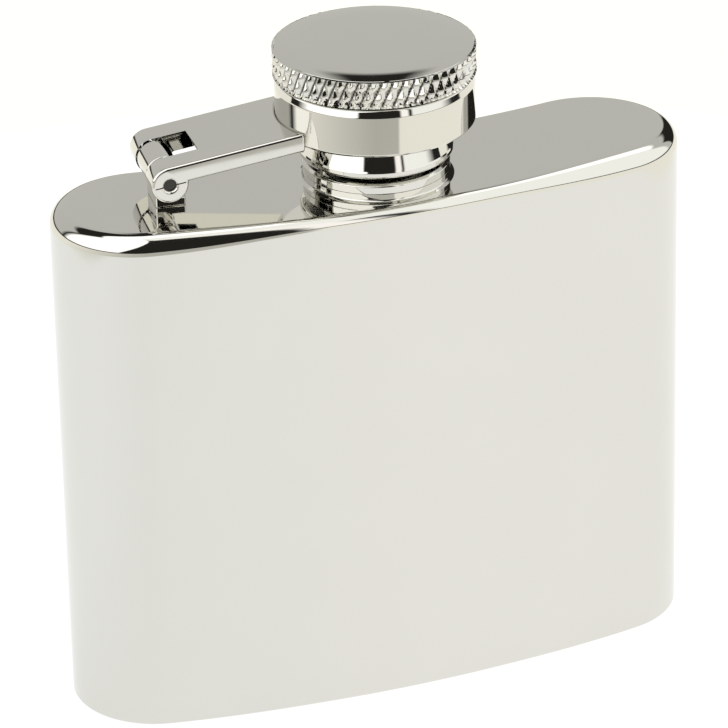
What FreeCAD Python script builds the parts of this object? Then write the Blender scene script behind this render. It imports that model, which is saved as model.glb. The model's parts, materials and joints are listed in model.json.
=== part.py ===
import FreeCAD, Part
import math
import os
import Sketcher

# A small captive-top hip flask: a kidney-shaped welded sheet body, a neck with a bored spout, and a
# knurled screw cap that stays on a swinging arm.  Millimetres, +Z up.  The origin is the middle of the
# bounding box at the base; +X is the width, and the hollow of the back faces +Y.

DIMENSIONS = {
    # sheet body
    "body_width": 66.0,
    "body_depth": 18.0,
    "body_height": 54.1,
    "front_bend": 125.0,
    "end_radius": 8.9,
    "depth_shift": 0.59,
    "gauge": 0.5,
    "plate_skirt": 3.0,
    "top_roll": 1.4,
    "base_roll": 0.8,
    # neck and spout
    "neck_radius": 7.35,
    "neck_flare": 7.75,
    "neck_ring_height": 0.9,
    "shoulder_height": 1.9,
    "spigot_radius": 6.2,
    "spout_bore": 4.6,
    "spout_root": 5.35,
    "spout_crest": 5.75,
    "spout_height": 8.5,
    "thread_pitch": 1.5,
    # screw cap
    "cap_base": 56.7,
    "ring_radius": 7.6,
    "ring_height": 3.2,
    "core_radius": 7.1,
    "core_crest": 6.35,
    "core_root": 6.6,
    "liner_radius": 6.5,
    "liner_thick": 1.2,
    "core_top": 65.0,
    "flange_radius": 9.2,
    "knurl_base": 65.1,
    "knurl_radius": 10.15,
    "disc_radius": 9.8,
    "knurl_top": 68.0,
    "cap_dome": 0.4,
    "shell_thick": 0.8,
    # captive collar, arm and hinge
    "collar_base": 60.0,
    "collar_top": 64.9,
    "collar_radius": 9.95,
    "collar_edge": 0.25,
    "running_fit": 0.06,
    "arm_yaw": 6.5,
    "arm_tilt": 8.0,
    "arm_width": 10.7,
    "barrel_radius": 1.85,
    "pin_radius": 0.6,
    "pin_reach": 22.0,
    "pin_height": 57.75,
    "pin_length": 10.0,
    "notch_width": 4.6,
    "notch_depth": 4.0,
    "knuckle_width": 4.2,
    "knuckle_radius": 1.75,
    "stem_thick": 1.7,
    "foot_thick": 0.9,
    "foot_reach": 1.3,
}

doc = FreeCAD.newDocument("hip_flask")
sheet = doc.addObject("Spreadsheet::Sheet", "Dims")
for row, (alias, value) in enumerate(DIMENSIONS.items(), start=1):
    sheet.set(f"A{row}", alias)
    sheet.set(f"B{row}", str(value))
    sheet.setAlias(f"B{row}", alias)
doc.recompute()
dim = {alias: float(sheet.get(alias)) for alias in DIMENSIONS}


def bound(text):
    """The expression text with each sheet alias written as Dims.alias."""
    return " ".join("Dims." + word if word in DIMENSIONS else word for word in text.split())


def value_of(text):
    """The number that a spaced expression of sheet aliases comes to now."""
    total = doc.Dims.evalExpression(bound(text).replace("Dims.", ""))
    return float(total)


def new_body(name):
    body = doc.addObject("PartDesign::Body", name)
    body.Label = name
    return body


def new_sketch(body, role, name, level=None):
    """A sketch on one of the body's own origin planes, lifted by level where one is given."""
    sketch = body.newObject("Sketcher::SketchObject", name)
    plane = next(item for item in body.Origin.OriginFeatures if item.Role == role)
    sketch.AttachmentSupport = [(plane, "")]
    sketch.MapMode = "FlatFace"
    if level:
        sketch.setExpression("AttachmentOffset.Base.z", bound(level))
    return sketch


def fix(sketch, kind, *where, size):
    """One dimension constraint, bound to the sheet."""
    index = sketch.addConstraint(Sketcher.Constraint(kind, *where, value_of(size)))
    sketch.setExpression(f"Constraints[{index}]", bound(size))


def polygon(sketch, corners):
    """A closed outline; each corner is (across, up), written with sheet aliases, or 0 on the axis."""
    places = [FreeCAD.Vector(value_of(across), value_of(up), 0) for across, up in corners]
    count = len(places)
    for index, place in enumerate(places):
        sketch.addGeometry(Part.LineSegment(place, places[(index + 1) % count]), False)
    for index in range(count):
        sketch.addConstraint(Sketcher.Constraint("Coincident", index, 2, (index + 1) % count, 1))
    for index, (across, up) in enumerate(corners):
        if across == "0":
            sketch.addConstraint(Sketcher.Constraint("PointOnObject", index, 1, -2))
        else:
            fix(sketch, "DistanceX", -1, 1, index, 1, size=across)
        if up == "0":
            sketch.addConstraint(Sketcher.Constraint("PointOnObject", index, 1, -1))
        else:
            fix(sketch, "DistanceY", -1, 1, index, 1, size=up)


def circle(sketch, across, up, radius):
    """A circle at (across, up); 0 keeps its centre on the axis."""
    centre = FreeCAD.Vector(value_of(across), value_of(up), 0)
    sketch.addGeometry(Part.Circle(centre, FreeCAD.Vector(0, 0, 1), value_of(radius)), False)
    if across == "0":
        sketch.addConstraint(Sketcher.Constraint("PointOnObject", 0, 3, -2))
    else:
        fix(sketch, "DistanceX", -1, 1, 0, 3, size=across)
    if up == "0":
        sketch.addConstraint(Sketcher.Constraint("PointOnObject", 0, 3, -1))
    else:
        fix(sketch, "DistanceY", -1, 1, 0, 3, size=up)
    fix(sketch, "Radius", 0, size=radius)


def pad(body, sketch, name, length, both_ways=False):
    feature = body.newObject("PartDesign::Pad", name)
    feature.Profile = sketch
    feature.setExpression("Length", bound(length))
    if both_ways:
        feature.SideType = "Symmetric"
    doc.recompute()
    return feature


def pocket(body, sketch, name, length, both_ways=False, reverse=False):
    """A pocket that stops the build if it cuts nothing."""
    before = body.Shape.Volume
    feature = body.newObject("PartDesign::Pocket", name)
    feature.Profile = sketch
    feature.setExpression("Length", bound(length))
    feature.Reversed = reverse
    if both_ways:
        feature.SideType = "Symmetric"
    doc.recompute()
    if body.Shape.Volume > before - 1e-6:
        raise RuntimeError(f"{body.Label}: {name} cuts nothing")
    return feature


def revolve(name, corners):
    """A turned piece about the neck's axis, from its half section of (radius, height) corners."""
    body = new_body(name)
    sketch = new_sketch(body, "XZ_Plane", "Section")
    polygon(sketch, corners)
    turned = body.newObject("PartDesign::Revolution", "Turned")
    turned.Profile = sketch
    turned.ReferenceAxis = (sketch, ["V_Axis"])
    turned.Angle = 360
    body.setExpression("Placement.Base.y", bound("0 - depth_shift"))
    doc.recompute()
    return body


def round_edges(body, name, level, radius):
    """Rounds the edges of the body that lie flat at one height."""
    height = value_of(level)
    tip = body.Tip
    edges = [
        f"Edge{number}"
        for number, edge in enumerate(tip.Shape.Edges, start=1)
        if abs(edge.BoundBox.ZMin - height) < 1e-4 and abs(edge.BoundBox.ZMax - height) < 1e-4
    ]
    feature = body.newObject("PartDesign::Fillet", name)
    feature.Base = (tip, edges)
    feature.setExpression("Radius", bound(radius))
    doc.recompute()
    return feature


# ---------------------------------------------------------------- the kidney-shaped sheet body


def kidney(sketch, inset):
    """The flask's plan, drawn inset from its outside: a bowed front, a hollow back and round ends."""
    rim = value_of(f"end_radius - {inset}")
    bend = value_of(f"front_bend - {inset}")
    half = value_of(f"body_depth / 2 - {inset}")
    across = value_of("body_width / 2 - end_radius")
    front_y = bend - half
    end_y = front_y - math.sqrt((bend - rim) ** 2 - across**2)
    hollow = (across**2 + (half - end_y) ** 2 - rim**2) / (2 * (rim - half + end_y))
    back_y = half + hollow
    front_turn = math.atan2(front_y - end_y, across)
    back_turn = math.atan2(back_y - end_y, across)

    def arc(x, y, radius, start, stop):
        ring = Part.Circle(FreeCAD.Vector(x, y, 0), FreeCAD.Vector(0, 0, 1), radius)
        return Part.ArcOfCircle(ring, start, stop)

    first = sketch.GeometryCount
    front, right, back, left, middle = range(first, first + 5)
    sketch.addGeometry(arc(0, front_y, bend, math.pi + front_turn, 2 * math.pi - front_turn), False)
    sketch.addGeometry(arc(across, end_y, rim, -front_turn, math.pi - back_turn), False)
    sketch.addGeometry(arc(0, back_y, hollow, math.pi + back_turn, 2 * math.pi - back_turn), False)
    sketch.addGeometry(arc(-across, end_y, rim, back_turn, math.pi + front_turn), False)
    sketch.addGeometry(Part.Point(FreeCAD.Vector(0, half, 0)), True)
    rules = [
        ("Tangent", front, 2, right, 1),
        ("Tangent", right, 2, back, 2),
        ("Tangent", back, 1, left, 1),
        ("Tangent", left, 2, front, 1),
        ("PointOnObject", front, 3, -2),
        ("PointOnObject", back, 3, -2),
        ("PointOnObject", middle, 1, -2),
        ("PointOnObject", middle, 1, back),
        ("Equal", right, left),
    ]
    for rule in rules:
        sketch.addConstraint(Sketcher.Constraint(*rule))
    fix(sketch, "Radius", front, size=f"front_bend - {inset}")
    fix(sketch, "Radius", right, size=f"end_radius - {inset}")
    fix(sketch, "DistanceX", left, 3, right, 3, size="body_width - 2 * end_radius")
    fix(sketch, "DistanceY", -1, 1, front, 3, size="front_bend - body_depth / 2")
    fix(sketch, "DistanceY", -1, 1, middle, 1, size=f"body_depth / 2 - {inset}")


def set_depth(body):
    body.setExpression("Placement.Base.y", bound("0 - depth_shift"))


def make_wrap():
    """The bent sheet wall, open above and below, between the skirts of the two plates."""
    body = new_body("body_wrap")
    sketch = new_sketch(body, "XY_Plane", "Plan", "plate_skirt")
    kidney(sketch, "0")
    kidney(sketch, "gauge")
    pad(body, sketch, "Wall", "body_height - 2 * plate_skirt")
    set_depth(body)
    return body


def make_plate(name, low, floor_level, hollow_level, outside, roll):
    """A pressed end plate: a shallow pan of the body's plan with a rolled outer edge."""
    body = new_body(name)
    outer = new_sketch(body, "XY_Plane", "Plan", low)
    kidney(outer, "0")
    pad(body, outer, "Blank", "plate_skirt")
    inner = new_sketch(body, "XY_Plane", "Hollow", hollow_level)
    kidney(inner, "gauge")
    pocket(body, inner, "Pan", "plate_skirt - gauge", reverse=hollow_level == low)
    round_edges(body, "OuterRoll", outside, roll)
    round_edges(body, "InnerRoll", floor_level, f"{roll} - gauge")
    set_depth(body)
    return body


def make_top_plate():
    low = "body_height - plate_skirt"
    body = make_plate("top_plate", low, "body_height - gauge", low, "body_height", "top_roll")
    hole = new_sketch(body, "XY_Plane", "NeckHole", "body_height")
    circle(hole, "0", "0", "spigot_radius")
    pocket(body, hole, "NeckOpening", "plate_skirt")
    return body


def make_bottom_plate():
    return make_plate("bottom_plate", "0", "gauge", "plate_skirt", "0", "base_roll")


# ------------------------------------------------------------------------- neck and screw cap


def ridges(first, root, crest, count):
    """Corners of a row of thread ridges one pitch apart, from the height first upwards."""
    corners = []
    for turn in range(count):
        start = f"{first} + {turn} * thread_pitch"
        corners.append((root, f"{start} + 0.2 * thread_pitch"))
        corners.append((crest, f"{start} + 0.45 * thread_pitch"))
        corners.append((crest, f"{start} + 0.55 * thread_pitch"))
        corners.append((root, f"{start} + 0.8 * thread_pitch"))
    return corners


def make_neck_ring():
    """The small flared ring that hides the braze between the neck and the top plate."""
    top = "body_height + neck_ring_height"
    corners = [
        ("spigot_radius", "body_height"),
        ("neck_flare", "body_height"),
        ("neck_radius + 0.15", "body_height + 0.35"),
        ("neck_radius", top),
        ("spigot_radius", top),
    ]
    return revolve("neck_ring", corners)


def make_spout():
    """The turned neck: a spigot in the plate, a plain barrel, and a smaller threaded spout."""
    shoulder = "body_height + shoulder_height"
    mouth = "body_height + spout_height"
    corners = [
        ("spout_bore", "body_height - gauge"),
        ("spigot_radius", "body_height - gauge"),
        ("spigot_radius", "body_height + neck_ring_height"),
        ("neck_radius", "body_height + neck_ring_height"),
        ("neck_radius", f"{shoulder} - 0.2"),
        ("neck_radius - 0.2", shoulder),
        ("spout_root", shoulder),
    ]
    corners += ridges(f"{shoulder} + 0.5", "spout_root", "spout_crest", 3)
    corners += [
        ("spout_root", f"{mouth} - 0.25"),
        ("spout_root - 0.25", mouth),
        ("spout_bore", mouth),
    ]
    return revolve("neck_spout", corners)


def make_cap_core():
    """The threaded cup under the knurled shell; its shank runs in the captive collar."""
    ceiling = "body_height + spout_height + 0.05 + liner_thick"
    corners = [
        ("0", ceiling),
        ("liner_radius", ceiling),
        ("liner_radius", f"{ceiling} - liner_thick"),
        ("core_root", f"{ceiling} - liner_thick"),
    ]
    corners += list(reversed(ridges("cap_base + 0.3", "core_root", "core_crest", 3)))
    corners += [
        ("core_root", "cap_base"),
        ("core_radius", "cap_base"),
        ("core_radius", "core_top"),
        ("flange_radius", "knurl_base"),
        ("flange_radius", "knurl_base + 1"),
        ("0", "knurl_base + 1"),
    ]
    return revolve("cap_core", corners)


def make_cap_shell():
    """The pressed cap with its knurled rim and very slightly domed top."""
    corners = [
        ("flange_radius", "knurl_base"),
        ("knurl_radius - 0.25", "knurl_base"),
        ("knurl_radius", "knurl_base + 0.25"),
        ("knurl_radius", "knurl_top - 0.3"),
        ("disc_radius", "knurl_top"),
        ("disc_radius / 2", "knurl_top + 0.72 * cap_dome"),
        ("0", "knurl_top + cap_dome"),
        ("0", "knurl_top - shell_thick"),
        ("flange_radius", "knurl_top - shell_thick"),
    ]
    return revolve("cap_shell", corners)


def make_retaining_ring():
    """The ring pressed on the foot of the core; the collar cannot slip off past it."""
    top = "cap_base + ring_height"
    corners = [
        ("core_radius", "cap_base"),
        ("ring_radius - 0.3", "cap_base"),
        ("ring_radius", "cap_base + 0.3"),
        ("ring_radius", f"{top} - 0.1"),
        ("ring_radius - 0.1", top),
        ("core_radius", top),
    ]
    return revolve("retaining_ring", corners)


def make_liner():
    """The soft disc inside the cap that seals on the spout's rim."""
    low = "body_height + spout_height + 0.05"
    corners = [
        ("0", low),
        ("liner_radius", low),
        ("liner_radius", f"{low} + liner_thick"),
        ("0", f"{low} + liner_thick"),
    ]
    return revolve("cap_liner", corners)


def make_collar():
    """The captive collar: a ring on the arm that the cap turns in."""
    corners = [
        ("core_radius + running_fit", "collar_base"),
        ("collar_radius - collar_edge", "collar_base"),
        ("collar_radius", "collar_base + collar_edge"),
        ("collar_radius", "collar_top - 0.1"),
        ("collar_radius - 0.1", "collar_top"),
        ("core_radius + running_fit", "collar_top"),
    ]
    return revolve("captive_collar", corners)


# ------------------------------------------------------------------------------- arm and hinge


def pin_place(tilt):
    """The hinge's own frame: origin on the pin, +X towards the neck, +Y along the pin."""
    yaw = math.radians(dim["arm_yaw"])
    spot = FreeCAD.Vector(
        -dim["pin_reach"] * math.cos(yaw),
        dim["pin_reach"] * math.sin(yaw) - dim["depth_shift"],
        dim["pin_height"],
    )
    return FreeCAD.Placement(spot, FreeCAD.Rotation(-dim["arm_yaw"], -tilt, 0))


def make_arm():
    """The strap that carries the collar, with its end rolled into two ears round the pin."""
    body = new_body("arm_blank")
    strap = new_sketch(body, "XZ_Plane", "StrapSide")
    polygon(strap, [("0", "0"), ("pin_reach", "0"), ("pin_reach", "barrel_radius"), ("0", "barrel_radius")])
    pad(body, strap, "Strap", "arm_width", both_ways=True)
    barrel = new_sketch(body, "XZ_Plane", "BarrelSide")
    circle(barrel, "0", "0", "barrel_radius")
    pad(body, barrel, "Barrel", "arm_width", both_ways=True)
    notch = new_sketch(body, "XZ_Plane", "NotchSide")
    circle(notch, "0", "0", "notch_depth")
    pocket(body, notch, "Notch", "notch_width", both_ways=True)
    eye = new_sketch(body, "XZ_Plane", "EyeSide")
    circle(eye, "0", "0", "pin_radius")
    pocket(body, eye, "Eye", "arm_width + 2", both_ways=True)
    body.Placement = pin_place(dim["arm_tilt"])
    seat = doc.addObject("Part::Cylinder", "collar_seat")
    seat.setExpression("Radius", bound("collar_radius"))
    seat.setExpression("Height", bound("knurl_top"))
    seat.setExpression("Placement.Base.y", bound("0 - depth_shift"))
    arm = doc.addObject("Part::Cut", "arm_strap")
    arm.Base = body
    arm.Tool = seat
    arm.Label = "arm_strap"
    doc.recompute()
    return arm


def make_pin():
    """The hinge pin, tight in the strap's ears and a little short of their outer faces."""
    body = new_body("hinge_pin")
    side = new_sketch(body, "XZ_Plane", "PinSide")
    circle(side, "0", "0", "pin_radius")
    pad(body, side, "Pin", "pin_length", both_ways=True)
    body.Placement = pin_place(0)
    return body


def make_bracket():
    """The post brazed to the top plate, with the knuckle that the pin turns in."""
    body = new_body("hinge_bracket")
    rise = "pin_height - body_height"
    side = new_sketch(body, "XZ_Plane", "StemSide", None)
    side.setExpression("AttachmentOffset.Base.y", bound("0 - pin_height + body_height"))
    side.setExpression("AttachmentOffset.Base.x", bound("0 - stem_thick / 2"))
    corners = [
        ("0", "0"),
        ("stem_thick + foot_reach", "0"),
        ("stem_thick + foot_reach", "foot_thick"),
        ("stem_thick", "foot_thick"),
        ("stem_thick", rise),
        ("0", rise),
    ]
    polygon(side, corners)
    pad(body, side, "Stem", "knuckle_width", both_ways=True)
    round_side = new_sketch(body, "XZ_Plane", "KnuckleSide")
    circle(round_side, "0", "0", "knuckle_radius")
    pad(body, round_side, "Knuckle", "knuckle_width", both_ways=True)
    hole = new_sketch(body, "XZ_Plane", "BoreSide")
    circle(hole, "0", "0", "pin_radius + running_fit / 2")
    pocket(body, hole, "Bore", "knuckle_width + 2", both_ways=True)
    body.Placement = pin_place(0)
    return body


parts = [
    make_wrap(),
    make_top_plate(),
    make_bottom_plate(),
    make_neck_ring(),
    make_spout(),
    make_bracket(),
    make_arm(),
    make_collar(),
    make_pin(),
    make_cap_shell(),
    make_cap_core(),
    make_retaining_ring(),
    make_liner(),
]
doc.recompute()

for item in doc.Objects:
    if "Invalid" in item.State or "Error" in item.State:
        raise RuntimeError(f"{item.Label} did not compute: {item.State}")
os.makedirs("parts", exist_ok=True)
for part in parts:
    if part.Shape.isNull() or not part.Shape.isValid():
        raise RuntimeError(f"{part.Label} has no valid shape")
    part.Shape.exportStep(f"parts/{part.Label}.step")
    box = part.Shape.BoundBox
    print(
        f"{part.Label:16s} {len(part.Shape.Solids)} solid, {part.Shape.Volume:8.1f} mm3, "
        f"x {box.XMin:.2f}..{box.XMax:.2f} y {box.YMin:.2f}..{box.YMax:.2f} z {box.ZMin:.2f}..{box.ZMax:.2f}"
    )
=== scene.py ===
"""A small captive-top hip flask in mirror-polished steel, on a pale floor under soft studio light."""

import json
import math

import bpy
from mathutils import Matrix, Vector


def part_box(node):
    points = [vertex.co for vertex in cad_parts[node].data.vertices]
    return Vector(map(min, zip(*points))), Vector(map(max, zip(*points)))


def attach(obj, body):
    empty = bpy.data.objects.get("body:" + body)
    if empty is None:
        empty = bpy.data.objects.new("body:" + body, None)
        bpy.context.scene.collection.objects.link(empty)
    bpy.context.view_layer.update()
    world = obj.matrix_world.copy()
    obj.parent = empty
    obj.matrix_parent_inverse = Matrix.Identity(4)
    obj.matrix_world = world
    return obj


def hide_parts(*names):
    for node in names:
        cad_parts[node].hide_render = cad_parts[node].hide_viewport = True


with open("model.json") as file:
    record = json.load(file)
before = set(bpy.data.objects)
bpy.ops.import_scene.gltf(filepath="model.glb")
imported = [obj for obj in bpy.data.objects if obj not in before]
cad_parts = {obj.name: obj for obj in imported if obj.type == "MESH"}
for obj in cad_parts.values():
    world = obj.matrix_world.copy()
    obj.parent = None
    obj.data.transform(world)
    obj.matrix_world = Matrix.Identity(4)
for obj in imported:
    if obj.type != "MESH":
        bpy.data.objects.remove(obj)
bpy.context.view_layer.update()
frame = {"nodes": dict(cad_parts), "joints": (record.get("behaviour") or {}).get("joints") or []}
scene = bpy.context.scene
scene.view_settings.view_transform = "Standard"

MM = 0.001

# The flask's plan: a bowed front, a hollow back and round ends.
FRONT_BEND = 125 * MM
END_RADIUS = 8.9 * MM
MID_DEPTH = 18 * MM
GAUGE = 0.5 * MM
TOP_ROLL = 1.05 * MM
TOP_ROLL_ENDS = 1.8 * MM
BASE_ROLL = 0.8 * MM
BASE_ROLL_ENDS = 0.45 * MM
HALF_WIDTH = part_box("body_wrap")[1].x
WALL_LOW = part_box("body_wrap")[0].z
WALL_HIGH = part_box("body_wrap")[1].z
PLATE_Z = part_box("top_plate")[1].z
PLAN_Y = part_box("body_wrap")[0].y + MID_DEPTH / 2

PLATE_FLAT = 2.2 * MM
BASE_FLAT = 7 * MM
# Away from the middle, the rolled edges change from one size to the other over this stretch.
ROLL_CHANGE_START = 8 * MM
ROLL_CHANGE_WIDTH = 18 * MM

# The neck and cap turn about this upright axis.
collar_low, collar_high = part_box("captive_collar")
AXIS_Y = (collar_low.y + collar_high.y) / 2
COLLAR_RADIUS = collar_high.x
SPIGOT_RADIUS = 6.2 * MM

# The hinge's pin, from the joint that turns on it.
swing = next(joint for joint in frame["joints"] if joint["name"] == "arm_swing")
PIN = Vector(swing["pos_m"])
PIN_WAY = -Vector(swing["axis"]).normalized()
ARM_YAW = math.atan2(PIN_WAY.x, PIN_WAY.y)
ARM_TILT = math.radians(8)
ARM_WIDTH = 10.7 * MM
ARM_REACH = 22 * MM
BARREL_RADIUS = 1.85 * MM
PIN_RADIUS = 0.6 * MM
NOTCH_RADIUS = 4 * MM
NOTCH_WIDTH = 4.6 * MM
KNUCKLE_RADIUS = 1.75 * MM
KNUCKLE_WIDTH = 4.2 * MM
PIN_GAP = 0.03 * MM
STEM_THICK = 1.7 * MM
FOOT_REACH = 1.3 * MM
FOOT_THICK = 0.9 * MM


# ------------------------------------------------------------------------------------- camera

CAMERA_TARGET = Vector((-1.165, 1.1, 32.405)) * MM
CAMERA_DISTANCE = 507.82 * MM
CAMERA_AZIMUTH = 0.354
CAMERA_ELEVATION = 0.4525
CAMERA_ROLL = -0.023
CAMERA_LENS = 247.25
SENSOR_WIDTH = 36
CLIP_START = 0.01


def add_camera():
    """The photograph's viewpoint: far off, to the left of the front and above it."""
    level = math.cos(CAMERA_ELEVATION)
    ahead = Vector((
        math.sin(CAMERA_AZIMUTH) * level,
        math.cos(CAMERA_AZIMUTH) * level,
        -math.sin(CAMERA_ELEVATION),
    ))
    data = bpy.data.cameras.new("camera")
    data.lens = CAMERA_LENS
    data.sensor_width = SENSOR_WIDTH
    data.clip_start = CLIP_START
    camera = bpy.data.objects.new("camera", data)
    camera.location = CAMERA_TARGET - ahead * CAMERA_DISTANCE
    turn = ahead.to_track_quat("-Z", "Y").to_matrix() @ Matrix.Rotation(CAMERA_ROLL, 3, "Z")
    camera.rotation_euler = turn.to_euler()
    scene.collection.objects.link(camera)
    scene.camera = camera


# ------------------------------------------------------------------------------------- meshes

SHARP = math.radians(32)
HAIR = 0.02 * MM
LATHE_SEGMENTS = 256
LATHE_STEPS = 8
SECTION_STEPS = 10


def new_piece(name, points, faces, material, smooth=True, sharp=SHARP):
    """A mesh object in the scene, with one material and smooth shading between its sharp edges."""
    mesh = bpy.data.meshes.new(name)
    mesh.from_pydata([tuple(point) for point in points], [], faces)
    mesh.validate()
    piece = bpy.data.objects.new(name, mesh)
    scene.collection.objects.link(piece)
    mesh.materials.append(material)
    if smooth:
        mesh.shade_smooth()
        mesh.set_sharp_from_angle(angle=sharp)
    return piece


def loft(name, loops, material, closed=True):
    """A skin over equal loops of points; closed joins the last loop to the first."""
    size = len(loops[0])
    points = [point for loop in loops for point in loop]
    faces = []
    for row in range(len(loops) if closed else len(loops) - 1):
        below = row * size
        above = (row + 1) % len(loops) * size
        for index in range(size):
            ahead = (index + 1) % size
            faces.append((below + index, below + ahead, above + ahead, above + index))
    if not closed:
        faces.append(tuple(reversed(range(size))))
        faces.append(tuple(range(len(points) - size, len(points))))
    return new_piece(name, points, faces, material)


def softened(corners, steps):
    """A closed outline of (across, up, radius) corners with its corners rounded, and with a pair of
    points just beside each arc, so that the flats between the arcs shade flat."""
    outline = []
    count = len(corners)
    for index, (across, up, radius) in enumerate(corners):
        here = Vector((across, up))
        before = Vector(corners[index - 1][:2]) - here
        after = Vector(corners[(index + 1) % count][:2]) - here
        if radius <= 0:
            outline.append(here)
            continue
        half = before.angle(after) / 2
        back = radius / math.tan(half)
        start = here + before.normalized() * back
        stop = here + after.normalized() * back
        middle = here + (before.normalized() + after.normalized()).normalized() * radius / math.sin(half)
        from_middle, to_middle = start - middle, stop - middle
        sweep = from_middle.angle_signed(to_middle)
        outline.append(here + before.normalized() * (back + min(HAIR, radius / 4)))
        for step in range(steps + 1):
            turn = Matrix.Rotation(-sweep * step / steps, 2)
            outline.append(middle + turn @ from_middle)
        outline.append(here + after.normalized() * (back + min(HAIR, radius / 4)))
    return outline


def lathe(name, corners, material):
    """A ring turned about the neck's axis, from a closed section of (radius, height, rounding)."""
    outline = softened([(r * MM, z * MM, soft * MM) for r, z, soft in corners], LATHE_STEPS)
    turned = []
    for radius, height in outline:
        ring = []
        for index in range(LATHE_SEGMENTS):
            angle = 2 * math.pi * index / LATHE_SEGMENTS
            ring.append((radius * math.cos(angle), AXIS_Y + radius * math.sin(angle), height))
        turned.append(ring)
    return loft(name, turned, material)


def arc_points(centre, radius, start, stop, count):
    """Points on an arc, without its last one."""
    angles = [start + (stop - start) * index / count for index in range(count)]
    return [(centre[0] + radius * math.cos(a), centre[1] + radius * math.sin(a)) for a in angles]


def kidney(inset, height):
    """The flask's plan as a loop of points, inset from its outside, at one height."""
    rim = END_RADIUS - inset
    bend = FRONT_BEND - inset
    half = MID_DEPTH / 2 - inset
    across = HALF_WIDTH - END_RADIUS
    front_y = bend - half
    end_y = front_y - math.sqrt((bend - rim) ** 2 - across**2)
    hollow = (across**2 + (half - end_y) ** 2 - rim**2) / (2 * (rim - half + end_y))
    back_y = half + hollow
    front_turn = math.atan2(front_y - end_y, across)
    back_turn = math.atan2(back_y - end_y, across)
    loop = arc_points((0, front_y), bend, math.pi + front_turn, 2 * math.pi - front_turn, 96)
    loop += arc_points((across, end_y), rim, -front_turn, math.pi - back_turn, 64)
    loop += arc_points((0, back_y), hollow, 2 * math.pi - back_turn, math.pi + back_turn, 96)
    loop += arc_points((-across, end_y), rim, back_turn, math.pi + front_turn, 64)
    return [(x, PLAN_Y + y, height) for x, y in loop]


def shell_loops(section):
    """The body's plan carried round a section of (inset, height, rounding)."""
    return [kidney(inset, height) for inset, height in softened(section, SECTION_STEPS)]


def between_loops(middle, ends):
    """Loops that follow the first set across the middle of the width and the second at the ends."""
    mixed = []
    for near, far in zip(middle, ends):
        loop = []
        for one, other in zip(near, far):
            share = max(0, min(1, (abs(one[0]) - ROLL_CHANGE_START) / ROLL_CHANGE_WIDTH))
            share = share * share * (3 - 2 * share)
            loop.append(Vector(one).lerp(Vector(other), share))
        mixed.append(loop)
    return mixed


def circle_loop(radius, height, like):
    """A circle about the neck's axis, one point for each point of the loop it is skinned to."""
    angles = [math.atan2(y - AXIS_Y, x) for x, y, _ in like]
    return [(radius * math.cos(a), AXIS_Y + radius * math.sin(a), height) for a in angles]


# ---------------------------------------------------------------------------------- materials


class Nodes:
    """A material's node tree, with short calls to add and join nodes."""

    def __init__(self, name):
        self.material = bpy.data.materials.new(name)
        self.material.use_nodes = True
        self.tree = self.material.node_tree
        self.shader = self.tree.nodes["Principled BSDF"]

    def add(self, kind, **settings):
        """A new node, with its settings."""
        node = self.tree.nodes.new(kind)
        for key, value in settings.items():
            setattr(node, key, value)
        return node

    def join(self, source, target):
        self.tree.links.new(source, target)

    def math(self, operation, first, second=None):
        """One arithmetic step on sockets or plain numbers."""
        node = self.add("ShaderNodeMath", operation=operation)
        for socket, value in zip(node.inputs, (first, second)):
            if isinstance(value, (int, float)):
                socket.default_value = value
            elif value is not None:
                self.join(value, socket)
        return node.outputs["Value"]

    def noise(self, scale, detail=4, stretch=None):
        """A noise over the object's own space; stretch squeezes it along each axis."""
        place = self.add("ShaderNodeTexCoord")
        spot = place.outputs["Object"]
        if stretch:
            mapping = self.add("ShaderNodeMapping")
            mapping.inputs["Scale"].default_value = stretch
            self.join(spot, mapping.inputs["Vector"])
            spot = mapping.outputs["Vector"]
        noise = self.add("ShaderNodeTexNoise")
        noise.inputs["Scale"].default_value = scale
        noise.inputs["Detail"].default_value = detail
        self.join(spot, noise.inputs["Vector"])
        return noise.outputs["Fac"]

    def ramp(self, source, low, high, start=0.0, stop=1.0):
        """source turned into a value that goes from low to high as it goes from start to stop."""
        ramp = self.add("ShaderNodeMapRange")
        ramp.inputs["From Min"].default_value = start
        ramp.inputs["From Max"].default_value = stop
        ramp.inputs["To Min"].default_value = low
        ramp.inputs["To Max"].default_value = high
        self.join(source, ramp.inputs["Value"])
        return ramp.outputs["Result"]

    def tint(self, source, dark, light):
        """A colour between dark and light, mixed by source."""
        mix = self.add("ShaderNodeMix", data_type="RGBA")
        mix.inputs["A"].default_value = (*dark, 1)
        mix.inputs["B"].default_value = (*light, 1)
        self.join(source, mix.inputs["Factor"])
        return mix.outputs["Result"]

    def bump(self, source, depth, below=None):
        """A surface normal shaken by source, on top of the bump below it."""
        bump = self.add("ShaderNodeBump")
        bump.inputs["Distance"].default_value = depth
        bump.inputs["Strength"].default_value = 1
        self.join(source, bump.inputs["Height"])
        if below is not None:
            self.join(below, bump.inputs["Normal"])
        return bump.outputs["Normal"]


# Painted shade, laid along the bottom of the knurl's grooves.
GROOVE_SHADE_COLOUR = (0.02, 0.02, 0.018)


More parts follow.
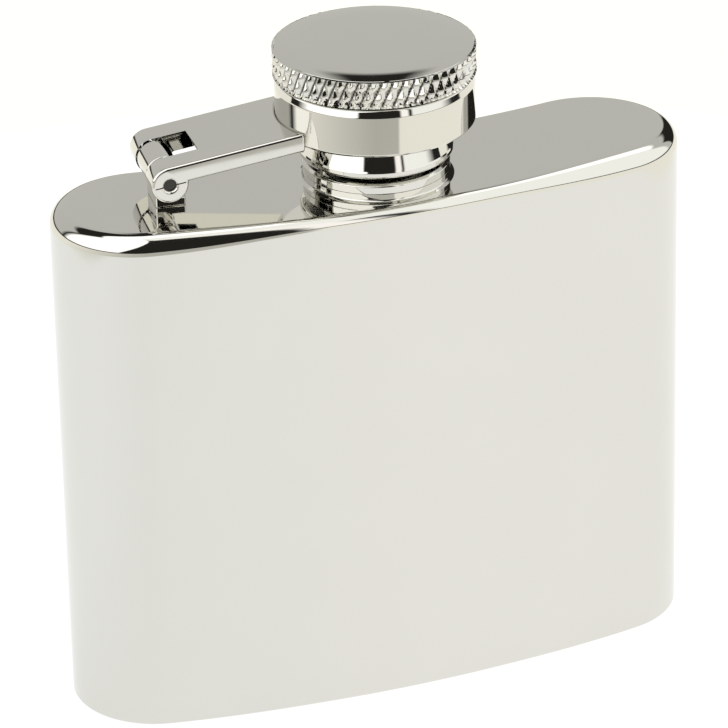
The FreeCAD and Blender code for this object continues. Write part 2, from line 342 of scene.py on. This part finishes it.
def polished_steel(name, dark, light, rough_low, rough_high, wave, scratch, grooves=None):
    """Mirror-polished steel: faint waviness of the sheet, hair scratches and smears in the polish.
    grooves, where given, makes a mask of the places that get painted shade, a dark colour laid in where
    shade falls."""
    nodes = Nodes(name)
    shader = nodes.shader
    shader.inputs["Metallic"].default_value = 1
    smear = nodes.noise(90, 3)
    colour = nodes.tint(smear, dark, light)
    if grooves:
        # Painted shade: where the grooves' mask is 1, the colour turns nearly black.
        painted_shade = nodes.add("ShaderNodeMix", data_type="RGBA")
        nodes.join(grooves(nodes), painted_shade.inputs["Factor"])
        nodes.join(colour, painted_shade.inputs["A"])
        painted_shade.inputs["B"].default_value = (*GROOVE_SHADE_COLOUR, 1)
        colour = painted_shade.outputs["Result"]
    nodes.join(colour, shader.inputs["Base Color"])
    haze = nodes.noise(420, 6, (1, 1, 0.35))
    nodes.join(nodes.ramp(haze, rough_low, rough_high, 0.35, 0.75), shader.inputs["Roughness"])
    hair = nodes.noise(2600, 2, (0.06, 1, 1))
    fine = nodes.bump(hair, scratch)
    nodes.join(nodes.bump(nodes.noise(55, 1), wave, below=fine), shader.inputs["Normal"])
    return nodes.material


def turned_steel(name):
    """Machined steel that the closed cap hides: tool marks run round the axis."""
    nodes = Nodes(name)
    shader = nodes.shader
    shader.inputs["Metallic"].default_value = 1
    smear = nodes.noise(140, 4)
    nodes.join(nodes.tint(smear, (0.50, 0.50, 0.48), (0.64, 0.64, 0.61)), shader.inputs["Base Color"])
    nodes.join(nodes.ramp(smear, 0.2, 0.34), shader.inputs["Roughness"])
    marks = nodes.noise(9000, 2, (0.02, 0.02, 1))
    nodes.join(nodes.bump(marks, 0.004 * MM), shader.inputs["Normal"])
    return nodes.material


def soft_liner(name):
    """White food-grade silicone with a faint moulded grain."""
    nodes = Nodes(name)
    shader = nodes.shader
    grain = nodes.noise(1500, 5)
    nodes.join(nodes.tint(grain, (0.74, 0.73, 0.69), (0.84, 0.83, 0.79)), shader.inputs["Base Color"])
    nodes.join(nodes.ramp(grain, 0.42, 0.6), shader.inputs["Roughness"])
    nodes.join(nodes.bump(grain, 0.02 * MM), shader.inputs["Normal"])
    return nodes.material


WARM_DARK = (0.69, 0.683, 0.64)
WARM_LIGHT = (0.715, 0.708, 0.665)
# The hinge pin is coloured nearly black: painted shade for the hole it sits recessed in.
PIN_SHADE_DARK, PIN_SHADE_LIGHT = (0.03, 0.03, 0.028), (0.08, 0.08, 0.075)
# Painted shade for the slits in the ears, laid on as thin dark slivers.
SLIT_SHADOW_DARK, SLIT_SHADOW_LIGHT = (0.02, 0.02, 0.02), (0.05, 0.05, 0.045)
FINE_HAIR = 0.00002 * MM
HAIR_SCRATCH = 0.00003 * MM
body_steel = polished_steel("body_steel", WARM_DARK, WARM_LIGHT, 0.03, 0.06, 0.0012 * MM, FINE_HAIR)
cap_steel = polished_steel("cap_steel", WARM_DARK, WARM_LIGHT, 0.03, 0.07, 0.0008 * MM, HAIR_SCRATCH)
hinge_steel = polished_steel("hinge_steel", WARM_DARK, WARM_LIGHT, 0.04, 0.08, 0.001 * MM, HAIR_SCRATCH)
pin_shaded_steel = polished_steel("pin_shaded_steel", PIN_SHADE_DARK, PIN_SHADE_LIGHT, 0.2, 0.35, 0.001 * MM, HAIR_SCRATCH)
seam_shadow = polished_steel("seam_shadow", SLIT_SHADOW_DARK, SLIT_SHADOW_LIGHT, 0.4, 0.6, 0, HAIR_SCRATCH)
thread_steel = turned_steel("thread_steel")
liner_rubber = soft_liner("liner_rubber")


# ------------------------------------------------------------------------------- the sheet body


def place(piece, body, node, slot):
    """The piece stands for a CAD node, whose mesh is hidden, and moves with its body. slot, which names
    its finish, is not used.
    """
    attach(piece, body)
    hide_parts(node)


def add_body():
    """The sheet wall between two pressed plates, the upper one with a hole for the neck."""
    wall = loft(
        "body_wall",
        shell_loops([(0, WALL_LOW, 0), (0, WALL_HIGH, 0), (GAUGE, WALL_HIGH, 0), (GAUGE, WALL_LOW, 0)]),
        body_steel,
    )
    place(wall, "flask", "body_wrap", "body_steel")

    top = between_loops(*[
        shell_loops([
            (GAUGE, WALL_HIGH, 0),
            (0, WALL_HIGH, 0),
            (0, PLATE_Z, roll),
            (PLATE_FLAT, PLATE_Z, 0),
        ])
        for roll in (TOP_ROLL, TOP_ROLL_ENDS)
    ])
    under = between_loops(*[
        shell_loops([
            (PLATE_FLAT, PLATE_Z - GAUGE, 0),
            (GAUGE, PLATE_Z - GAUGE, roll - GAUGE),
            (GAUGE, WALL_HIGH, 0),
        ])[:-1]
        for roll in (TOP_ROLL, TOP_ROLL_ENDS)
    ])
    hole = [circle_loop(SPIGOT_RADIUS, height, top[-1]) for height in (PLATE_Z, PLATE_Z - GAUGE)]
    place(loft("plate_top", top + hole + under, body_steel), "flask", "top_plate", "body_steel")

    base = between_loops(*[
        shell_loops([
            (BASE_FLAT, 0, 0),
            (0, 0, roll),
            (0, WALL_LOW, 0),
            (GAUGE, WALL_LOW, 0),
            (GAUGE, GAUGE, max(roll - GAUGE, HAIR)),
            (BASE_FLAT, GAUGE, 0),
        ])
        for roll in (BASE_ROLL, BASE_ROLL_ENDS)
    ])
    place(loft("plate_base", base, body_steel, closed=False), "flask", "bottom_plate", "body_steel")


# ------------------------------------------------------------------------------- neck and cap


# Radii and heights in millimetres, as lathe takes them.
BORE, SPIGOT, NECK, FLARE, SPOUT = 4.6, 6.2, 7.35, 7.75, 5.35
SPIGOT_LOW, PLATE_TOP, RING_TOP, BARREL_LOW, SHOULDER, MOUTH = 53.6, 54.1, 54.97, 55, 56, 62.6
COLLAR_BORE, COLLAR, COLLAR_LOW, COLLAR_TOP = 7.16, 9.95, 60, 64.9
CORE, LIP, LIP_LOW, LIP_TOP = 7.1, 7.68, 56.7, 59.9


def add_neck():
    """The flared ring at the foot, and the barrel that narrows to the threaded spout."""
    foot = [
        (SPIGOT, PLATE_TOP, 0),
        (FLARE, PLATE_TOP, 0),
        (NECK + 0.03, PLATE_TOP + 0.2, 0.25),
        (NECK, RING_TOP, 0.04),
        (SPIGOT, RING_TOP, 0),
    ]
    place(lathe("neck_foot", foot, body_steel), "flask", "neck_ring", "body_steel")
    barrel = [
        (BORE, SPIGOT_LOW, 0.1),
        (SPIGOT, SPIGOT_LOW, 0.1),
        (SPIGOT, BARREL_LOW, 0),
        (NECK, BARREL_LOW, 0.04),
        (NECK, SHOULDER - 0.25, 0.15),
        (NECK - 0.3, SHOULDER, 0.12),
        (SPOUT, SHOULDER, 0.3),
        (SPOUT, MOUTH, 0.2),
        (BORE, MOUTH, 0.2),
    ]
    spout = lathe("neck_barrel", barrel, body_steel)
    place(joined(spout, screw_thread()), "flask", "neck_spout", "body_steel")


THREAD_ROOT = 5.3 * MM
THREAD_CREST = 5.75 * MM
THREAD_LOW = 56.9 * MM
THREAD_HIGH = 61.6 * MM
THREAD_PITCH = 1.5 * MM
THREAD_SEGMENTS = 72


def screw_thread():
    """A right-hand helical ridge that tapers into the barrel at both ends."""
    turns = (THREAD_HIGH - THREAD_LOW) / THREAD_PITCH
    points, faces = [], []
    count = int(turns * THREAD_SEGMENTS)
    foot, flat = 0.42 * THREAD_PITCH, 0.14 * THREAD_PITCH
    for index in range(count + 1):
        share = index / count
        angle = 2 * math.pi * turns * share
        height = THREAD_LOW + (THREAD_HIGH - THREAD_LOW) * share
        taper = max(0.02, min(1, 6 * share, 6 * (1 - share)))
        reach = THREAD_ROOT + (THREAD_CREST - THREAD_ROOT) * taper
        for radius, rise in ((THREAD_ROOT, -foot), (reach, -flat), (reach, flat), (THREAD_ROOT, foot)):
            points.append((radius * math.cos(angle), AXIS_Y + radius * math.sin(angle), height + rise))
    for index in range(count):
        for side in range(4):
            a, b = 4 * index + side, 4 * index + (side + 1) % 4
            faces.append((a, b, b + 4, a + 4))
    faces += [(3, 2, 1, 0), tuple(4 * count + side for side in range(4))]
    return new_piece("neck_thread", points, faces, body_steel)


def joined(piece, other):
    """The second piece's mesh added to the first piece."""
    both = bpy.data.meshes.new(piece.name)
    points, faces = [], []
    for mesh in (piece.data, other.data):
        first = len(points)
        points += [vertex.co[:] for vertex in mesh.vertices]
        faces += [tuple(first + index for index in face.vertices) for face in mesh.polygons]
    both.from_pydata(points, [], faces)
    both.materials.append(piece.data.materials[0])
    both.shade_smooth()
    both.set_sharp_from_angle(angle=SHARP)
    piece.data = both
    bpy.data.objects.remove(other)
    return piece


def add_cap():
    """The captive collar, the ring under it and the knurled shell above it."""
    collar = [
        (COLLAR_BORE, COLLAR_LOW, 0.15),
        (COLLAR - 0.2, COLLAR_LOW, 0.12),
        (COLLAR, COLLAR_LOW + 0.25, 0.12),
        (COLLAR, COLLAR_TOP - 0.8, 0.6),
        (COLLAR - 0.25, COLLAR_TOP, 0.25),
        (COLLAR_BORE, COLLAR_TOP, 0.1),
    ]
    place(lathe("collar_ring", collar, cap_steel), "arm", "captive_collar", "cap_steel")
    lower = [
        (CORE, LIP_LOW, 0.1),
        (LIP - 0.13, LIP_LOW, 0.2),
        (LIP, LIP_LOW + 0.25, 0.15),
        (LIP, LIP_LOW + 0.6, 0.1),
        (LIP - 0.08, LIP_LOW + 0.8, 0.1),
        (CORE + 0.05, LIP_TOP - 1, 0.1),
        (CORE + 0.05, LIP_TOP, 0.02),
        (CORE, LIP_TOP, 0),
    ]
    place(lathe("cap_lower_ring", lower, cap_steel), "cap", "retaining_ring", "cap_steel")
    add_knurled_shell()


KNURL_COUNT = 55
KNURL_STEPS = 8
KNURL_ROWS = 18
KNURL_LOW = 65.2 * MM
KNURL_HIGH = 67.92 * MM
KNURL_DEPTH = 0.5 * MM
KNURL_RADIUS = 10.15 * MM
KNURL_PITCH = 2.45 * MM
KNURL_END = 0.1 * MM
GROOVE_FLOOR = 0.02 * MM
GROOVE_SIDE = 0.14 * MM
EDGE_RADIUS = 9.86 * MM
EDGE_HEIGHT = 68 * MM
EDGE_SOFT = 0.03 * MM
RIM_WIDTH = 2.4 * MM
RIM_LEAN = math.radians(9)
INNER_LEAN = math.radians(2.8)
RIM_STEPS = 16


def knurl_radius(turn, height):
    """The radius of the diamond knurl at a turn (in diamonds) and a height. The grooves that lean one
    way are cut a little less deep than the others, and both are shallow at the rims."""
    rise = (height - (KNURL_LOW + KNURL_HIGH) / 2) / KNURL_PITCH + 0.25
    cuts = [
        depth * abs((turn + sign * rise) % 1 - 0.5) * 2
        for sign, depth in ((1, 0.8 * KNURL_DEPTH), (-1, KNURL_DEPTH))
    ]
    edge = min(height - KNURL_LOW, KNURL_HIGH - height) / KNURL_END
    return KNURL_RADIUS - max(max(cuts), 0.1 * KNURL_DEPTH) * max(0.2, min(1, edge))


def disc_profile():
    """The polished disc from its edge inwards: it falls away near the rim and is almost flat inside."""
    height = EDGE_HEIGHT
    points = [(EDGE_RADIUS + EDGE_SOFT, height - EDGE_SOFT), (EDGE_RADIUS, height)]
    step = RIM_WIDTH / RIM_STEPS
    for index in range(RIM_STEPS):
        height += step * math.tan(RIM_LEAN + (INNER_LEAN - RIM_LEAN) * (index + 0.5) / RIM_STEPS)
        points.append((EDGE_RADIUS - step * (index + 1), height))
    inner = points[-1][0]
    dome = inner * math.tan(INNER_LEAN) * 0.6 / 2
    for share in (0.85, 0.7, 0.55, 0.4, 0.25, 0.05):
        points.append((inner * share, height + dome * (1 - share * share)))
    return points


def knurl_groove_shade_mask(nodes):
    """1 along the bottom of the knurl's grooves, where the steel gets a painted shade."""
    spot = nodes.add("ShaderNodeTexCoord")
    split = nodes.add("ShaderNodeSeparateXYZ")
    nodes.join(spot.outputs["Object"], split.inputs["Vector"])
    across = split.outputs["X"]
    deep = nodes.math("SUBTRACT", split.outputs["Y"], AXIS_Y)
    height = split.outputs["Z"]
    square = nodes.math("ADD", nodes.math("MULTIPLY", across, across), nodes.math("MULTIPLY", deep, deep))
    radius = nodes.math("SQRT", square)
    root = KNURL_RADIUS - KNURL_DEPTH
    low = nodes.ramp(radius, 1, 0, root + GROOVE_FLOOR, root + GROOVE_SIDE)
    above = nodes.ramp(height, 0, 1, KNURL_LOW - GROOVE_FLOOR, KNURL_LOW + GROOVE_FLOOR)
    below = nodes.ramp(height, 1, 0, KNURL_HIGH - KNURL_END / 2, KNURL_HIGH)
    return nodes.math("MULTIPLY", nodes.math("MULTIPLY", low, above), below)


# The shell's open edge under the knurl, from the inside out: radii and heights in millimetres.
SHELL_FOOT = [(9.2, 65.9), (9.2, 65.1), (9.7, 65.1), (9.8, 65.12)]
FACET_SHARP = math.radians(22)


def add_knurled_shell():
    """The cap's pressed shell: diamond knurling between two plain rims, and a polished domed disc."""
    columns = KNURL_COUNT * KNURL_STEPS
    points, faces = [], []

    def ring(radius, height, knurled=False):
        start = len(points)
        for index in range(columns):
            angle = 2 * math.pi * index / columns
            reach = knurl_radius(index / KNURL_STEPS, height) if knurled else radius
            points.append((reach * math.cos(angle), AXIS_Y + reach * math.sin(angle), height))
        return start

    def band(low, high):
        for index in range(columns):
            ahead = (index + 1) % columns
            faces.append((low + index, low + ahead, high + ahead, high + index))

    starts = [ring(r * MM, z * MM) for r, z in SHELL_FOOT]
    for row in range(KNURL_ROWS + 1):
        height = KNURL_LOW + (KNURL_HIGH - KNURL_LOW) * row / KNURL_ROWS
        starts.append(ring(0, height, knurled=True))
    starts += [ring(r, z) for r, z in disc_profile()]
    for low, high in zip(starts, starts[1:]):
        band(low, high)
    faces.append(tuple(range(starts[-1], starts[-1] + columns)))
    finish = (WARM_DARK, WARM_LIGHT, 0.03, 0.07, 0.0008 * MM, HAIR_SCRATCH)
    steel = polished_steel("knurl_steel", *finish, grooves=knurl_groove_shade_mask)
    shell = new_piece("cap_knurled_shell", points, faces, steel, sharp=FACET_SHARP)
    place(shell, "cap", "cap_shell", "cap_steel")


# ------------------------------------------------------------------------------- arm and hinge


def hinge_frame(tilt):
    """Placement of the hinge's own frame: +X along the strap to the neck, +Y along the pin."""
    turn = Matrix.Rotation(-ARM_YAW, 4, "Z") @ Matrix.Rotation(-tilt, 4, "Y")
    return Matrix.Translation(PIN) @ turn


def prism(name, outline, low, high, material):
    """A straight solid from an (x, z) outline, between two places along y."""
    count = len(outline)
    points = [(x, y, z) for y in (low, high) for x, z in outline]
    faces = [tuple(range(count)), tuple(reversed(range(count, 2 * count)))]
    for index in range(count):
        ahead = (index + 1) % count
        faces.append((index, index + count, ahead + count, ahead))
    return new_piece(name, points, faces, material, smooth=False)


def round_outline(radius, start, stop, count):
    """Points on an arc about the pin, both ends included."""
    return arc_points((0, 0), radius, start, stop, count) + [
        (radius * math.cos(stop), radius * math.sin(stop))
    ]


def cylinder(name, radius, half_length, count):
    """A cutter along the pin's axis."""
    outline = arc_points((0, 0), radius, 0, 2 * math.pi, count)
    return prism(name, outline, -half_length, half_length, hinge_steel)


def settled(piece):
    """Makes the result of the piece's modifiers its own mesh."""
    bpy.context.view_layer.update()
    graph = bpy.context.evaluated_depsgraph_get()
    piece.data = bpy.data.meshes.new_from_object(piece.evaluated_get(graph))
    piece.modifiers.clear()


def carved(piece, cutters):
    """Takes the cutters away from the piece."""
    for cutter in cutters:
        cut = piece.modifiers.new("cut", "BOOLEAN")
        cut.object = cutter
        cut.operation = "DIFFERENCE"
        cut.solver = "EXACT"
    settled(piece)
    for cutter in cutters:
        bpy.data.objects.remove(cutter)


def finished(piece, cutters, place_at, bevel, clamped=True):
    """The piece cut, its edges rounded, and put in place. clamped keeps the rounding from meeting
    itself, which on the strap would do away with it."""
    carved(piece, cutters)
    edge = piece.modifiers.new("edge", "BEVEL")
    edge.width = bevel
    edge.segments = BEVEL_STEPS
    edge.limit_method = "ANGLE"
    edge.angle_limit = BEVEL_FROM
    edge.use_clamp_overlap = clamped
    settled(piece)
    piece.data.transform(place_at)
    piece.data.shade_smooth()
    piece.data.set_sharp_from_angle(angle=CUT_SHARP)
    even = piece.modifiers.new("even", "WEIGHTED_NORMAL")
    even.keep_sharp = True
    settled(piece)


SEAM = 0.11 * MM
SEAM_STANDS = 0.015 * MM
SEAM_STRETCHES = ((-1.5 * MM, -0.6 * MM), (0.6 * MM, 1.6 * MM))
ARM_EDGE = 0.3 * MM
BRACKET_EDGE = 0.15 * MM
BEVEL_STEPS = 5
BEVEL_FROM = math.radians(28)
CUT_SHARP = math.radians(40)
# Cutters run well past the faces they cut.
EYE_CUT = 7 * MM
POST_CUT = 5 * MM
SEAT_LOW, SEAT_HIGH = 45 * MM, 75 * MM


def add_arm():
    """The strap and its rolled ears."""
    outline = [(ARM_REACH, 0), (ARM_REACH, BARREL_RADIUS)]
    outline += round_outline(BARREL_RADIUS, math.pi / 2, 2 * math.pi, 72)
    strap = prism("arm_strap_piece", outline, -ARM_WIDTH / 2, ARM_WIDTH / 2, hinge_steel)
    notch = cylinder("notch_cutter", NOTCH_RADIUS, NOTCH_WIDTH / 2, 64)
    eye = cylinder("eye_cutter", PIN_RADIUS, EYE_CUT, 40)
    finished(strap, [notch, eye, seat_cutter()], hinge_frame(ARM_TILT), ARM_EDGE, clamped=False)
    place(strap, "arm", "arm_strap", "hinge_steel")
    for side in (-1, 1):
        for start, end in SEAM_STRETCHES:
            add_seam(side * ARM_WIDTH / 2, start, end)


def add_seam(face, start, end):
    """A dark sliver laid on the strap's end as painted shade of the slit where the rolled ear meets the
    flat.
    """
    half = SEAM / 2
    outline = [(start, -half), (end, -half), (end, half), (start, half)]
    seam = prism("ear_seam_shadow", outline, face - SEAM_STANDS, face + SEAM_STANDS, seam_shadow)
    seam.data.transform(hinge_frame(ARM_TILT))
    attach(seam, "arm")


def seat_cutter():
    """The collar's cylinder, brought into the strap's own frame."""
    ring = arc_points((0, AXIS_Y), COLLAR_RADIUS, 0, 2 * math.pi, 128)
    loops = [[(x, y, z) for x, y in ring] for z in (SEAT_LOW, SEAT_HIGH)]
    seat = loft("seat_cutter", loops, hinge_steel, closed=False)
    seat.data.transform(hinge_frame(ARM_TILT).inverted())
    return seat


def add_bracket():
    """The post on the top plate and its knuckle."""
    drop = PLATE_Z - PIN.z
    half = STEM_THICK / 2
    toe = half + FOOT_REACH
    lean = math.asin(half / KNUCKLE_RADIUS)
    outline = [(-half, drop), (toe, drop), (toe, drop + FOOT_THICK), (half, drop + FOOT_THICK)]
    outline += round_outline(KNUCKLE_RADIUS, -math.pi / 2 + lean, 3 * math.pi / 2 - lean, 64)
    post = prism("hinge_post", outline, -KNUCKLE_WIDTH / 2, KNUCKLE_WIDTH / 2, hinge_steel)
    eye = cylinder("post_eye", PIN_RADIUS + PIN_GAP, POST_CUT, 40)
    finished(post, [eye], hinge_frame(0), BRACKET_EDGE)
    place(post, "flask", "hinge_bracket", "hinge_steel")


# ---------------------------------------------------------------------------------- the studio


FLOOR_SIZE = 3.0
FLOOR_LIGHT = 0.98
FLOOR_PAINT = (0.1, 0.1, 0.098)
# Beyond this distance the floor's glow is dimmed and warmed, as painted shade. From the main viewpoint
# the collar mirrors it.
AWAY_START, AWAY_STOP = 0.1425, 0.1465
COOL, NEUTRAL, SHADE_WARMTH = (0.985, 1, 1), (1, 0.995, 0.985), (1, 0.98, 0.89)
# The bowed front mirrors the floor as if every reflection fanned out from this point behind it.
FAN_X, FAN_Y = -20.6 * MM, 45 * MM


def add_floor():
    """A pale floor that glows a little, with painted light: its glow is uneven in front, and dimmer and
    warmer away from the flask as painted shade.
    """
    nodes = Nodes("floor_white")
    shader = nodes.shader
    shader.inputs["Base Color"].default_value = (*FLOOR_PAINT, 1)
    shader.inputs["Roughness"].default_value = 0.9
    shader.inputs["Specular IOR Level"].default_value = 0
    spot = nodes.add("ShaderNodeTexCoord")
    split = nodes.add("ShaderNodeSeparateXYZ")
    nodes.join(spot.outputs["Object"], split.inputs["Vector"])
    across = nodes.math("SUBTRACT", split.outputs["X"], FAN_X)
    ahead = nodes.math("SUBTRACT", FAN_Y, split.outputs["Y"])
    fan = nodes.math("MULTIPLY", nodes.math("ARCTAN2", across, ahead), 180 / math.pi)
    length = nodes.add("ShaderNodeVectorMath", operation="LENGTH")
    nodes.join(spot.outputs["Object"], length.inputs[0])
    distance = length.outputs["Value"]
    # Painted light: the glow rises and falls with the fan angle, for what the bowed front mirrors.
    level = nodes.ramp(fan, 0.955, 1.01, -10, 22)
    level = nodes.math("MULTIPLY", level, nodes.ramp(fan, 1.04, 1, -50, -15))
    # Painted shade: the glow is dimmed and warmed beyond AWAY_START, in a fan to the front and left.
    away = nodes.ramp(distance, 0, 1, AWAY_START, AWAY_STOP)
    shade = nodes.math("MULTIPLY", nodes.ramp(fan, 0, 1, -110, -10), nodes.ramp(fan, 0.5, 0, 9, 11))
    dim = nodes.math("SUBTRACT", 1, nodes.math("MULTIPLY", away, shade))
    total = nodes.math("MULTIPLY", nodes.math("MULTIPLY", level, dim), FLOOR_LIGHT)
    nodes.join(total, shader.inputs["Emission Strength"])
    tone = nodes.ramp(fan, 0, 1, -30, 15)
    warm = nodes.add("ShaderNodeMix", data_type="RGBA")
    nodes.join(away, warm.inputs["Factor"])
    nodes.join(nodes.tint(tone, COOL, NEUTRAL), warm.inputs["A"])
    warm.inputs["B"].default_value = (*SHADE_WARMTH, 1)
    nodes.join(warm.outputs["Result"], shader.inputs["Emission Color"])
    half = FLOOR_SIZE / 2
    corners = [(-half, -half, 0), (half, -half, 0), (half, half, 0), (-half, half, 0)]
    new_piece("floor", corners, [(0, 1, 2, 3)], nodes.material, smooth=False)


class Sky(Nodes):
    """The studio round the flask, painted by bearing (0 in front, + to the right) and elevation."""

    def __init__(self):
        self.world = bpy.data.worlds.new("studio")
        self.world.use_nodes = True
        self.tree = self.world.node_tree
        self.back = self.tree.nodes["Background"]
        spot = self.add("ShaderNodeTexCoord")
        split = self.add("ShaderNodeSeparateXYZ")
        self.join(spot.outputs["Generated"], split.inputs["Vector"])
        turn = self.math("ARCTAN2", split.outputs["X"], self.math("MULTIPLY", split.outputs["Y"], -1.0))
        self.bearing = self.math("MULTIPLY", turn, 180 / math.pi)
        self.height = self.math("MULTIPLY", self.math("ARCSINE", split.outputs["Z"]), 180 / math.pi)
        self.colour = None

    def inside(self, value, low, high, soft=1.5):
        """1 where value lies between low and high, with soft edges."""
        rise = self.ramp(value, 0, 1, low - soft, low + soft)
        fall = self.ramp(value, 1, 0, high - soft, high + soft)
        return self.math("MULTIPLY", rise, fall)

    def paint(self, colour, mask=None):
        """Lays a colour over what is there, where the mask is 1."""
        mix = self.add("ShaderNodeMix", data_type="RGBA")
        mix.inputs["B"].default_value = (*colour, 1)
        if mask is None:
            mix.inputs["Factor"].default_value = 1
        else:
            self.join(mask, mix.inputs["Factor"])
            self.join(self.colour, mix.inputs["A"])
        self.colour = mix.outputs["Result"]

    def done(self):
        self.join(self.colour, self.back.inputs["Color"])
        scene.world = self.world


BRIGHT_WHITE = (1.6, 1.59, 1.57)
SOFT_WHITE = (1.22, 1.22, 1.19)
PINK_WHITE = (1.34, 1.29, 1.26)
GREY_CARD = (0.635, 0.63, 0.605)
ROOM_DARK = (0.022, 0.021, 0.019)


def add_sky():
    """Bright all round, with what the polished steel mirrors painted over it in turn."""
    sky = Sky()
    turn = sky.math("FLOORED_MODULO", sky.math("ADD", sky.bearing, 360), 360)

    def patch(colour, sideways, upright):
        """Paints where both masks are 1."""
        sky.paint(colour, sky.math("MULTIPLY", sideways, upright))

    sky.paint(BRIGHT_WHITE)
    # To the right: a softer white panel, its pinkish edge, and a dark gap in it.
    sky.paint(SOFT_WHITE, sky.inside(sky.bearing, 2, 105))
    sky.paint(PINK_WHITE, sky.inside(sky.bearing, 8, 17))
    patch(ROOM_DARK, sky.inside(sky.bearing, 17, 21), sky.inside(sky.height, -5, 40))
    # Behind: the dark room, the grey card that the flat tops mirror, and a dark column before it.
    patch(ROOM_DARK, sky.inside(turn, 144, 236, 4), sky.inside(sky.height, -5, 65, 1))
    patch(GREY_CARD, sky.inside(turn, 100, 228, 3), sky.inside(sky.height, 3, 43, 2))
    patch(ROOM_DARK, sky.inside(turn, 154.5, 164), sky.inside(sky.height, 33, 65))
    patch(ROOM_DARK, sky.inside(turn, 112, 147), sky.inside(sky.height, -5, 29, 2))
    # In front: the dark shape round the camera, with a slanted top, and a dark line on the horizon.
    slope = sky.math("SUBTRACT", sky.height, sky.math("MULTIPLY", sky.bearing, 1.5))
    patch(ROOM_DARK, sky.inside(sky.bearing, -50, 8), sky.inside(slope, -90, 70.5, 2))
    sky.paint(ROOM_DARK, sky.inside(sky.height, -90, 2.5))
    sky.done()


add_camera()
add_body()
add_neck()
add_cap()
add_arm()
add_bracket()
# The pin takes the painted shade of its hole.
shown_nodes = (("cap_core", thread_steel), ("hinge_pin", pin_shaded_steel), ("cap_liner", liner_rubber))
for node_name, material in shown_nodes:
    mesh = frame["nodes"][node_name].data
    mesh.materials.clear()
    mesh.materials.append(material)
add_floor()
add_sky()
